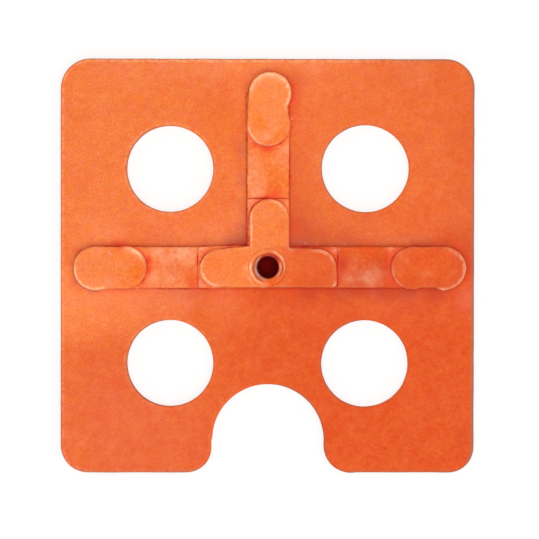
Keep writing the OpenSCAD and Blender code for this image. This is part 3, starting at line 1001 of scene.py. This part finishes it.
class Paint:
    """A node tree being put together."""

    def __init__(self, owner):
        owner.use_nodes = True
        self.tree = owner.node_tree
        self.tree.nodes.clear()

    def node(self, kind, settings=None, inputs=None, out=0):
        """Makes a node from its settings and inputs and gives the output that is used."""
        node = self.tree.nodes.new(kind)
        for key, value in (settings or {}).items():
            setattr(node, key, value)
        for key, value in (inputs or {}).items():
            if isinstance(value, Val):
                self.tree.links.new(value.socket, node.inputs[key])
            else:
                node.inputs[key].default_value = value
        return Val(self, node.outputs[out]) if node.outputs else None

    def noise(self, where, size, detail=2.0, roughness=0.5, out=0):
        """Noise whose features are about size millimetres across."""
        return self.node("ShaderNodeTexNoise", {}, {"Vector": where, "Scale": 1 / (size * MM),
                                                    "Detail": detail, "Roughness": roughness}, out)

    def blend(self, amount, a, b, clamp=True):
        return self.node("ShaderNodeMix", {"data_type": "RGBA", "clamp_factor": clamp},
                         {0: amount, 6: a, 7: b}, 2)

    def cover(self, tint, *layers):
        """Tint with colours laid over it, each by its own amount, the last one on top."""
        for amount, colour in layers:
            tint = self.blend(amount, tint, colour)
        return tint

    def vector(self, operation, *terms):
        return self.node("ShaderNodeVectorMath", {"operation": operation}, dict(enumerate(terms)))

    def swing(self, tint, noise, amounts):
        """Tint whose red, green and blue swing with a noise, each by its own amount."""
        gain = self.vector("MULTIPLY_ADD", noise, amounts, [1 - a / 2 for a in amounts])
        return self.vector("MULTIPLY", tint, gain)

    def read(self, name):
        """A value that the mesh keeps at each of its points."""
        return self.node("ShaderNodeAttribute", {"attribute_name": name}, out="Fac")


def shared_noises(p):
    """The noises that the layers of the rubber's look share, from broad to fine."""
    where = p.node("ShaderNodeTexCoord", out="Object")
    cloud, patch = p.noise(where, 9, 3, 0.6), p.noise(where, 2.8, 3, 0.6)
    spot, grain = p.noise(where, 1.3, 2, 0.6), p.noise(where, 0.5, 2, 0.7)
    return SimpleNamespace(where=where, cloud=cloud, patch=patch, spot=spot, grain=grain,
                           patchy=spot.between(0.36, 0.64),
                           ragged=(spot - 0.5) * 0.5 + (grain - 0.5) * 0.5)


def mottled_orange(p, n):
    """The orange, with the painted light in its tone, its mottling and grain, the grain coarser
    where it is scuffed.
    """
    mottle = (n.cloud - 0.5) * 0.35 + (n.patch - 0.5) * 0.7 + (n.spot - 0.5) * 0.6
    tint = p.blend(p.read("tone") + mottle, DEEP_ORANGE, LIGHTER_ORANGE, clamp=False)
    tint = p.swing(tint, p.noise(n.where, 1.7, 2, 0.6, out="Color"), (0.08, 0.4, 1.6))
    tint = p.swing(tint, n.grain, (0.28, 0.95, 2.1))
    tint = p.blend(n.grain.between(0.66, 0.8) * 0.35, tint, PALE_ORANGE)
    scuffed = p.swing(tint, p.noise(n.where, 0.9, 2, 0.7), (0.3, 1.1, 1.8))
    return p.blend(p.read("scuffed"), tint, scuffed)


def dirtied_and_shaded(p, n, tint):
    """Clean strong patches, then chalk, haze and dust, and painted shade over them."""
    strong = p.read("strong") * (0.45 + n.patch * 1.1)
    tint = p.blend(strong * 0.85, tint, p.vector("MULTIPLY", tint, CLEAN_SHARE))
    chalk = p.read("chalk") * (n.patch + n.spot * 0.5).between(0.4, 1)
    haze = p.read("haze") * (0.2 + n.patch * 1.6)
    dust = p.read("dust") * (0.35 + n.patch * 0.7 + n.spot * 0.6)
    dark = p.read("dark") * (0.4 + n.patch * 1.2)
    return p.cover(tint, (chalk * 0.7, CHALK), (haze * 0.1, HAZE_PINK), (dust * 0.62, DUST_BROWN),
                   (dark * 0.4, RED_BROWN), (p.read("dim_shade") * 0.6, RED_BROWN))


def painted_contact_shade(p, n, tint):
    """Painted contact shade: ragged red and dark lines where each step meets what it stands on."""
    crest, step, tier = (p.read(name) + n.ragged * 0.5 for name in ("crest", "step", "tier"))
    shade_strength = p.read("contact_shade")
    red = p.read("red") * (0.5 + n.patch)
    # Painted shade: a red band spreading out from the feet of the pads and the hub, and the red
    # spots.
    spread = crest.band(*FOOT_SPREAD) * shade_strength * 0.45 + red * 0.75
    reach = n.spot * 0.7 + 0.2
    at_crest = crest.band(-0.08, 0.12, 0.05, reach)
    at_step = step.band(-0.12, 0.1, 0.05, reach)
    at_tier = tier.band(-0.2, 0.05, 0.05, shade_strength * 0.4 + 0.25)
    on_rib = step.between(-0.1, -0.4) * crest.between(0, 0.1)
    contact = (at_crest | at_step | at_tier * on_rib) * (shade_strength * (0.4 + n.patchy * 1.1))
    line = crest.band(*FOOT_LINE) * p.read("lined") * (0.4 + n.patchy * 0.5)
    return p.cover(tint, (spread, RED_ORANGE), (contact, CONTACT_RED), (line, PLUM))


def painted_rim_highlights(p, n, tint):
    """Painted highlights on the rims of the pads and the hub, and the small pale specks."""
    crest = p.read("crest")
    rim_highlight = p.read("rim_highlight") * (0.55 + n.patchy * 0.7)
    rim = crest + n.ragged + p.read("rim_inset")
    shoulder = rim.band(*SHOULDER) * p.read("wide_rim")
    # Painted highlight along the outer part of each crest's rounded lip.
    lip = crest.band(*LIP) * (rim_highlight * 0.6 + 0.08)
    return p.cover(tint, (rim.band(*RIM) * rim_highlight * 0.6, RIM_HIGHLIGHT_PALE), (shoulder * 0.22, RIM_HIGHLIGHT_PALE),
                   (lip, PALE_ORANGE), (p.read("speck") * 0.7, WORN_PINK))


def painted_ring_light(p, n, tint):
    """Painted shade in the ring's grooves and down its throat, and painted highlights on its two
    beads.
    """
    ring = p.read("ring")
    groove_dark = ring.band(*RING_GROOVE) * 0.9 + ring.band(*RING_RIM) * n.patchy * 0.6
    groove_dark = groove_dark * p.read("groove_shade") * (0.5 + n.spot)
    throat = ring.between(3.6, 3.1) * p.read("throat_shade") * (0.6 + n.spot * 0.7)
    outer = ring.band(*ON_OUTER_BEAD) * p.read("bead_highlight") * (0.15 + n.spot * 0.7)
    inner = ring.band(*ON_INNER_BEAD) * p.read("inner_bead_highlight") * (0.4 + n.spot * 0.8)
    return p.cover(tint, (groove_dark, GROOVE_SHADE_BROWN), (throat, RED_BROWN), (outer, RIM_HIGHLIGHT_PALE), (inner, LILAC))


def edges_shade_and_band(p, n, tint):
    """Painted shade on the plate's arris and its rounded edge, and a bright band inside it."""
    edge = p.read("edge")
    arris = edge.between(-0.3, -0.04) * p.read("arris") * (n.patch * 1.4 + 0.1)
    bright = edge.band(*BRIGHT_EDGE) * (p.read("edge_band") * (0.1 + n.patchy * 0.9))
    edge_shade = edge.between(-1.05, -0.45) * p.read("edge_shade") * (0.6 + n.patch * 0.8)
    return p.cover(tint, (arris, GREY_BROWN), (bright * 0.5, EDGE_PALE), (edge_shade, GREY_BROWN))


def orange_rubber():
    """Matt orange moulded rubber, with painted highlights on its rims and painted shade at the feet
    of its steps.
    """
    material = bpy.data.materials.new("orange_rubber")
    p = Paint(material)
    n = shared_noises(p)
    tint = mottled_orange(p, n)
    for layer in (dirtied_and_shaded, painted_contact_shade, painted_rim_highlights, painted_ring_light, edges_shade_and_band):
        tint = layer(p, n, tint)
    # Painted shade: the eye is blended to a dark red with depth.
    depth = p.read("depth")
    tint = p.blend(depth, tint, EYE_RED)
    height = n.grain * 0.6 + n.spot * 0.5 + n.patch * 0.5
    bump = p.node("ShaderNodeBump", {}, {"Strength": 0.35, "Distance": 0.1 * MM, "Height": height})
    shader = p.node("ShaderNodeBsdfPrincipled", {}, {
        "Base Color": tint, "Normal": bump, "Roughness": 0.45 + n.grain * 0.35 + depth * 0.4,
        "Specular IOR Level": 0.12})
    p.node("ShaderNodeOutputMaterial", {}, {"Surface": shader})
    return material


def white_floor():
    """Pale floor that shows white to the camera and still takes the shim's shadow."""
    material = bpy.data.materials.new("white_floor")
    p = Paint(material)
    plain = p.node("ShaderNodeBsdfPrincipled", {}, {"Base Color": (0.95, 0.95, 0.95, 1),
                                                    "Roughness": 0.9})
    glow = p.node("ShaderNodeEmission", {}, {"Color": (1, 1, 1, 1), "Strength": 1.0})
    lit = p.node("ShaderNodeMixShader", {}, {0: FLOOR_GLOW, 1: plain, 2: glow})
    camera, glossy, through = (p.node("ShaderNodeLightPath", out=f"Is {kind} Ray")
                               for kind in ("Camera", "Glossy", "Transmission"))
    shown = p.node("ShaderNodeMixShader", {}, {0: camera | glossy | through, 1: plain, 2: lit})
    p.node("ShaderNodeOutputMaterial", {}, {"Surface": shown})
    return material


def dab_shape(x, y, cx, cy, radius):
    """How much of a soft dab there is at each point, 1 at its middle."""
    return np.exp(-((x - cx) ** 2 + (y - cy) ** 2) / radius ** 2)


def dabbed(x, y, dabs):
    """How strongly a list of soft dabs marks each point, between 0 and 1."""
    bare = np.ones(np.shape(x))
    for cx, cy, radius, strength in dabs:
        bare *= 1 - strength * dab_shape(x, y, cx, cy, radius)
    return 1 - bare


def changed(x, y, dabs):
    """Sum of soft dabs, each adding its own amount."""
    total = np.zeros(np.shape(x))
    for cx, cy, radius, amount in dabs:
        total += amount * dab_shape(x, y, cx, cy, radius)
    return total


def plate_painted_light(x, y):
    """Painted light on the plate: lighter towards the left and above the bar, deepest at the lower
    right; 1 gives the lighter orange.
    """
    upper = 1 - 0.0047 * (x + 45) - 0.2 * ease(38, 48, x) * ease(20, 0, y)
    upper = upper + 0.16 * ease(44, 49, y) * ease(34, 16, np.abs(x + 4))
    lower_left = 0.42 + 0.72 * ease(-23, -12, y) * ease(-14, -26, x) + 0.12 * ease(-40, -48, x)
    lower = lower_left + (0.06 - lower_left) * ease(-28, 12, x)
    lower = lower + 0.1 * ease(-16, -9, y) * ease(-8, 0, x)
    return np.where(y > T_Y, upper, lower)


def t_painted_light(x, y):
    """Painted light on the T: lightest at the left of the bar and up the upright, deeper towards
    the bar's right end.
    """
    right_end = 0.37 - 0.0045 * x
    bar = 1.2 + (right_end - 1.2) * ease(-3, 8, x)
    upright = 1.15 + 0.28 * ease(28, 42, y)
    return np.where(y > 4.6, upright, bar)


def opening_side(x, y):
    """From -1 at an opening's shaded side to 1 at its lit side, -1 away from the openings."""
    side = np.full(np.shape(x), -1.0)
    for cx, cy, r in HOLES:
        side = np.where(disc(x, y, cx, cy, r) < 1, (x - cx) / r, side)
    in_slot = (np.abs(x - SLOT_X) < SLOT_R + 1) & (y < SLOT_END_Y + SLOT_R + 1)
    return np.where(in_slot, (SLOT_X - x) / SLOT_R, side)


def look_over(points):
    """What each point of the moulding lies on and which way the outlines near it face."""
    x, y, z = points.T
    upper = z > PLATE_T / 2
    to_t = t_outline(x, y)
    in_t = to_t < FOOT_GAP / 2
    side = opening_side(x, y)
    return SimpleNamespace(x=x, y=y, z=z, upper=upper, in_t=in_t, on_t=upper & in_t,
                           on_plate=upper & ~in_t, step=np.where(upper, to_t, REACH),
                           crest=np.where(upper, crest_outline(x, y), REACH),
                           step_faces=outward(t_outline, points[:, :2]),
                           crest_faces=outward(crest_outline, points[:, :2]),
                           side=side, lit_side=ease(-0.5, 0.3, side))


def distance_marks(at):
    """How far each point is from the edges that the bands of wear follow."""
    x, y = at.x, at.y
    r = eye_radius(x, y)
    near_eye = (at.z > TOP_Z - 2) | (r < RING_R)
    mouth = np.hypot(x - EYE_X, y - EYE_Y) < EYE_MOUTH_R
    return {
        "crest": np.clip(at.crest, -REACH, REACH),
        "step": np.clip(at.step, -REACH, REACH),
        "tier": np.where(at.upper, np.clip(tier_outline(x, y), -REACH, REACH), REACH),
        "edge": np.where(at.upper, np.clip(plate_outline(x, y), -REACH, 0), -REACH),
        "rim_inset": RIM_INSET + RIM_INSET * at.crest_faces.sum(axis=1),
        "ring": np.where(near_eye, r, RING_R * 2),
        "depth": ease(*EYE_DARK, TOP_Z - at.z) * mouth,
    }


def dab_marks(at):
    """Marks made by the lists of dabs alone."""
    least = {
        "wide_rim": (WIDE_RIMS, 0), "rim_highlight": (RIM_HIGHLIGHTS, 0.03), "contact_shade": (FOOT_SHADE_DABS, 0.25),
        "bead_highlight": (BEAD_HIGHLIGHTS, 0), "inner_bead_highlight": (INNER_BEAD_HIGHLIGHTS, 0),
        "throat_shade": (THROAT_SHADE_DABS, 0.1), "groove_shade": (GROOVE_SHADE_DABS, 0.1),
    }
    only_on = {
        "lined": (LINED_FEET, at.on_plate), "chalk": (CHALKED, at.on_t),
        "haze": (HAZED, at.upper), "strong": (STRONG, at.upper), "speck": (SPECKS, at.upper),
        "red": (REDDENED, at.upper),
    }
    marks = {name: np.maximum(dabbed(at.x, at.y, dabs), low) for name, (dabs, low) in least.items()}
    for name, (dabs, where) in only_on.items():
        marks[name] = dabbed(at.x, at.y, dabs) * where
    return marks


def tone_marks(at):
    """The painted light with the orange's own tone, where the rubber is scuffed or dusty, and the
    painted shade that darkens it.
    """
    x, y = at.x, at.y
    # Painted light: the plate is lightened beside the T's left-facing steps, and the openings'
    # walls at their lit side.
    left_of_t = ease(1.6, 0.2, at.step) * at.on_plate * ease(-0.2, -0.7, at.step_faces[:, 0])
    lit_wall = ease(PLATE_T - 0.1, PLATE_T - 0.4, at.z) * at.lit_side
    painted_light = np.where(at.in_t, t_painted_light(x, y), plate_painted_light(x, y)) + changed(x, y, LIGHT_AND_TONE_DABS)
    dust = dabbed(x, y, DUST) * at.on_plate
    low_ground = at.on_t * ease(0, 0.4, at.crest)
    # Painted shade: a strip under the bar's right arm, a band along the right margin and the rib's
    # lower rounded edge.
    under_bar = ease(-8.3, -5.6, y) * ease(4, 10, x) * ease(46, 41, x) * (y < T_Y)
    right_margin = ease(45.5, 49.5, x) * ease(-6, 0, y)
    low_edge = ease(-0.5, -0.2, at.step) * ease(-0.3, -0.8, at.step_faces[:, 1]) * at.on_t
    low_edge = low_edge * ease(-14, 4, x)
    dim_shade = np.maximum(dabbed(x, y, BROAD_SHADE), np.maximum(0.18 * right_margin, 0.7 * low_edge))
    return {
        "tone": painted_light + 0.4 * left_of_t + 0.9 * lit_wall,
        "scuffed": np.clip(low_ground * 0.8 + dust + dabbed(x, y, STRONG) * at.on_t, 0, 0.9),
        "dust": dust * ease(5, 0, at.step),
        "dark": np.maximum(dabbed(x, y, DARKENED), 0.8 * under_bar) * at.on_plate,
        "dim_shade": dim_shade * at.upper,
    }


def edge_marks(at):
    """Painted shade along the plate's edge and round its openings, and a bright band inside the
    edge.
    """
    x, y = at.x, at.y
    near_top = ease(PLATE_T - 1.1, PLATE_T - 0.5, at.z)
    top_edge = ease(48, 49, y) * ease(-52, -20, x) * ease(44, 20, x)
    right = ease(47, 49, x) * (0.5 - 0.003 * y)
    upper_right = ease(20, 44, x) * ease(48.5, 49.3, y) * 0.3
    low = ease(-48.5, -49.3, y) * 0.15
    inner = np.maximum(np.abs(x), np.abs(y)) < 46
    openings = ease(0.2, -0.8, at.side) * inner * 0.13
    # Painted shade: the arris, most at the openings' shaded side, and a band inside the right,
    # upper right and lower edges and the openings' shaded sides.
    return {
        "arris": (1 - 0.9 * at.lit_side) * (0.82 + 0.003 * x) * near_top,
        "edge_band": np.clip(0.15 - 0.006 * x + 0.003 * y + 0.6 * top_edge, 0, 1),
        "edge_shade": np.max([right, upper_right, low, openings], axis=0) * near_top,
    }


def add_moulding():
    """The moulding as one fine mesh, with the marks of its wear and its painted light and shade."""
    points, faces = build_moulding()
    piece = mesh_piece("moulded_shim", points, faces)
    at = look_over(points)
    for marks in (distance_marks(at), dab_marks(at), tone_marks(at), edge_marks(at)):
        for name, values in marks.items():
            layer = piece.data.attributes.new(name, "FLOAT", "POINT")
            layer.data.foreach_set("value", np.asarray(values, np.float32))
    piece.data.materials.append(orange_rubber())
    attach(piece, "root")
    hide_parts("shim")


def add_floor():
    corners = [(-1, -1, 0), (1, -1, 0), (1, 1, 0), (-1, 1, 0)]
    floor = mesh_piece("floor", FLOOR_HALF * np.array(corners) / MM, [(0, 1, 2, 3)])
    floor.location.z = -FLOOR_DROP
    floor.data.materials.append(white_floor())
    floor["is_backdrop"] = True


def add_world():
    """Even light from all round."""
    world = bpy.data.worlds.new("studio")
    bpy.context.scene.world = world
    p = Paint(world)
    dome = p.node("ShaderNodeBackground", {}, {"Color": (1, 1, 1, 1), "Strength": DOME})
    p.node("ShaderNodeOutputWorld", {}, {"Surface": dome})


def add_lamp(name, place, size, power):
    """Square soft lamp aimed at the middle of the shim."""
    light = bpy.data.lights.new(name, "AREA")
    light.size = size
    light.energy = power
    lamp = bpy.data.objects.new(name, light)
    lamp.location = place
    lamp.rotation_euler = (-Vector(place)).to_track_quat("-Z", "Y").to_euler()
    bpy.context.scene.collection.objects.link(lamp)


def add_camera():
    """Looks straight down; the plate's size and place in the picture, in pixels, frame it."""
    picture_px = 539
    plate_px = 414.9
    middle_px = (267.45, 265.6)
    distance = 1.0
    mm_per_px = 2 * PLATE_HALF / plate_px
    view_width = picture_px * mm_per_px * MM
    data = bpy.data.cameras.new("camera")
    data.sensor_width = 36
    data.lens = data.sensor_width * distance / view_width
    camera = bpy.data.objects.new("camera", data)
    half = picture_px / 2
    camera.location = ((half - middle_px[0]) * mm_per_px * MM,
                       (middle_px[1] - half) * mm_per_px * MM,
                       distance + PLATE_T * MM)
    bpy.context.scene.collection.objects.link(camera)
    bpy.context.scene.camera = camera


bpy.context.scene.view_settings.view_transform = "Standard"
add_camera()
add_world()
add_lamp("overhead", place=(0.05, -0.1, 0.9), size=0.7, power=6.0)
add_lamp("key", place=(0.3, -0.5, 0.6), size=0.4, power=0.35)
add_floor()
add_moulding()
boxes = {"cad": cad_box, "visual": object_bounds()}
{k: [list(corner) for corner in box] for k, box in boxes.items()}
